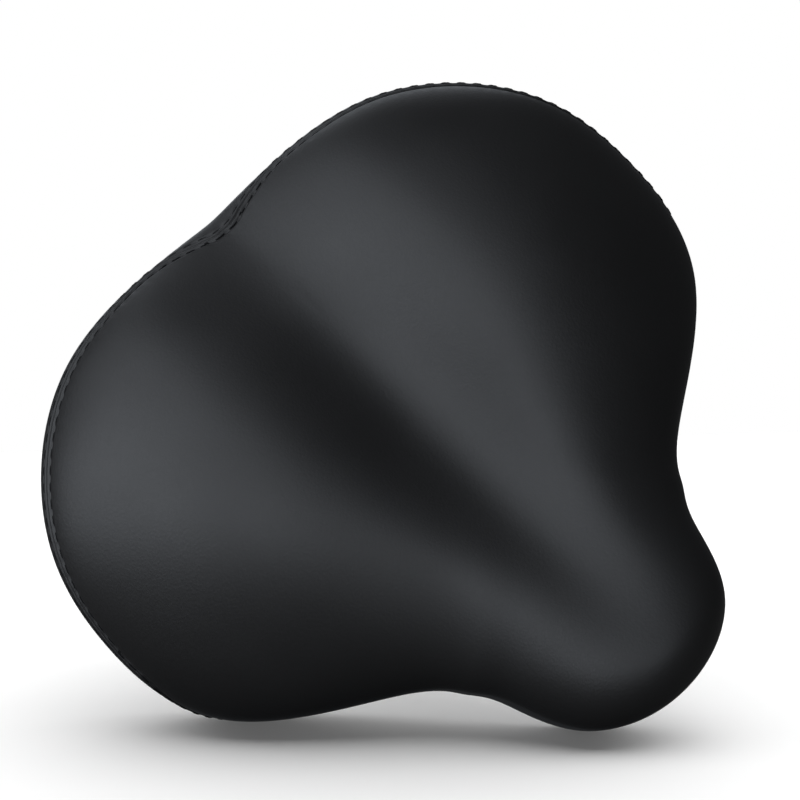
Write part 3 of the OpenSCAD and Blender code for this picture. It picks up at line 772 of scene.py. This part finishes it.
FLOOR_TILT = math.radians(10)
FLOOR_UP = screen_up * math.cos(FLOOR_TILT) + toward_camera * math.sin(FLOOR_TILT)
FLOOR_HALF, FLOOR_GAP = 0.6, 0.0005
# The floor's own light: its power, spread in degrees and where it comes from
WASH_POWER, WASH_SPREAD = 5.2, 130.0
WASH_LEAN = math.radians(38)
WASH_FROM = FLOOR_UP * math.cos(WASH_LEAN) + FLOOR_UP.cross(screen_right) * math.sin(WASH_LEAN)
COOL = (0.87, 0.925, 1.0)
WORLD_DIM = 0.025

# What a light falls on: the floor alone, all but the floor, or all but the floor and the cover
only_floor = bpy.data.collections.new("only_floor")
all_but_floor = bpy.data.collections.new("all_but_floor")
metal_and_base = bpy.data.collections.new("metal_and_base")


def leave_out(collection, piece):
    collection.objects.link(piece)
    collection.collection_objects[-1].light_linking.link_state = "EXCLUDE"


def area_light(name, place, size, power, receivers=all_but_floor, aim=TARGET):
    """A cool soft light on the object: the floor has its own, so that its shadow stays grey."""
    lamp = bpy.data.objects.new(name, bpy.data.lights.new(name, "AREA"))
    lamp.light_linking.receiver_collection = receivers
    lamp.data.shape = "RECTANGLE"
    lamp.data.size, lamp.data.size_y = size
    lamp.data.energy = power
    lamp.data.color = COOL
    lamp.location = place
    lamp.rotation_mode = "QUATERNION"
    lamp.rotation_quaternion = (Vector(aim) - place).to_track_quat("-Z", "Y")
    scene.collection.objects.link(lamp)
    return lamp


def build_world():
    """White to the camera, and only a faint glow to everything else."""
    world = bpy.data.worlds.new("studio")
    world.use_nodes = True
    scene.world = world
    nodes, links = world.node_tree.nodes, world.node_tree.links
    seen = nodes["Background"]
    seen.inputs["Color"].default_value = (1, 1, 1, 1)
    dim = nodes.new("ShaderNodeBackground")
    dim.inputs["Color"].default_value = (1, 1, 1, 1)
    dim.inputs["Strength"].default_value = WORLD_DIM
    path = nodes.new("ShaderNodeLightPath")
    mix = nodes.new("ShaderNodeMixShader")
    links.new(path.outputs["Is Camera Ray"], mix.inputs[0])
    links.new(dim.outputs[0], mix.inputs[1])
    links.new(seen.outputs[0], mix.inputs[2])
    links.new(mix.outputs[0], nodes["World Output"].inputs["Surface"])


def lowest_along(normal):
    """How far the object reaches against a direction, over its CAD nodes."""
    return min(normal.dot(v.co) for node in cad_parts.values() for v in node.data.vertices)


def floor_paint():
    """White to the camera, with a little emission, but throws back only 5 percent of the light, so
    that the object stays as dark as in the photograph. Clear from behind, so that the floor doesn't
    block the views from its far side: on the staged floor alone, the look depends on the side."""
    tree = Tree("floor_white")
    direct = tree.add("ShaderNodeLightPath").outputs["Is Camera Ray"]
    tree.colour(tree.mix_colour(direct, (0.05, 0.05, 0.05), (0.82, 0.82, 0.82)))
    tree.fix(Roughness=1.0, Specular_IOR_Level=0.0, Emission_Color=(1, 1, 1, 1))
    tree.link(tree.spread(direct, 0, 1, 0, 0.10), tree.shader.inputs["Emission Strength"])
    clear = tree.add("ShaderNodeBsdfTransparent")
    mix = tree.add("ShaderNodeMixShader")
    tree.link(tree.add("ShaderNodeNewGeometry").outputs["Backfacing"], mix.inputs[0])
    tree.link(tree.shader.outputs["BSDF"], mix.inputs[1])
    tree.link(clear.outputs[0], mix.inputs[2])
    tree.link(mix.outputs[0], tree.nodes["Material Output"].inputs["Surface"])
    return tree.material


def build_floor():
    """The saddle stands on its right side: a floor there, and a light that washes it alone."""
    depth = lowest_along(FLOOR_UP) - FLOOR_GAP
    centre = TARGET - FLOOR_UP * (FLOOR_UP.dot(TARGET) - depth)
    turn = FLOOR_UP.to_track_quat("Z", "Y").to_matrix()
    corners = [centre + turn @ Vector((x, y, 0)) * FLOOR_HALF
               for x, y in ((-1, -1), (1, -1), (1, 1), (-1, 1))]
    mesh = bpy.data.meshes.new("floor")
    mesh.from_pydata(corners, [], [(0, 1, 2, 3)])
    mesh.materials.append(floor_paint())
    floor = bpy.data.objects.new("floor", mesh)
    scene.collection.objects.link(floor)
    wash = bpy.data.objects.new("floor_wash", bpy.data.lights.new("floor_wash", "SUN"))
    wash.data.energy, wash.data.angle = WASH_POWER, math.radians(WASH_SPREAD)
    wash.rotation_mode = "QUATERNION"
    wash.rotation_quaternion = WASH_FROM.to_track_quat("Z", "Y")
    scene.collection.objects.link(wash)
    only_floor.objects.link(floor)
    for collection in (all_but_floor, metal_and_base):
        leave_out(collection, floor)
    wash.light_linking.receiver_collection = only_floor


build_world()
build_floor()
area_light("key", from_camera(-1.25, 0.0, 0.80), (1.2, 1.2), 10)
area_light("front", from_camera(-0.15, 0.35, 1.45), (1.4, 1.4), 6.8)
area_light("upper_front", from_camera(-0.9, 0.9, 0.9), (1.2, 1.2), 5.3)
area_light("upper_left", from_camera(-1.05, 1.00, 0.20), (1.0, 1.0), 2.8)
area_light("top", from_camera(0.0, 1.2, 0.9), (1.2, 1.2), 1.9)
area_light("low_front", from_camera(0.0, 0.0, 1.5), (0.5, 0.5), 1.6)
area_light("low_left", from_camera(-0.75, 0.0, 1.3), (0.5, 0.5), 1.2)
area_light("low_right", from_camera(0.75, 0.0, 1.3), (0.5, 0.5), 1.6)
area_light("under", from_camera(-0.3, 0.9, -1.2), (1.2, 1.2), 5)
area_light("under_parts", from_camera(-0.3, 0.9, -1.2), (1.2, 1.2), 18, receivers=metal_and_base)

# ---------------------------------------------------------------- build

cover = build_cover()
for panel in cover:
    leave_out(metal_and_base, panel)
surface = cover_surface(cover)
build_stitches(surface, 1, "seam_stitches_rear")
build_stitches(surface, -1, "seam_stitches_top")
build_foam()
build_spring(1, "coil_spring_left", "spring_left")
build_spring(-1, "coil_spring_right", "spring_right")
dress_cad_nodes()
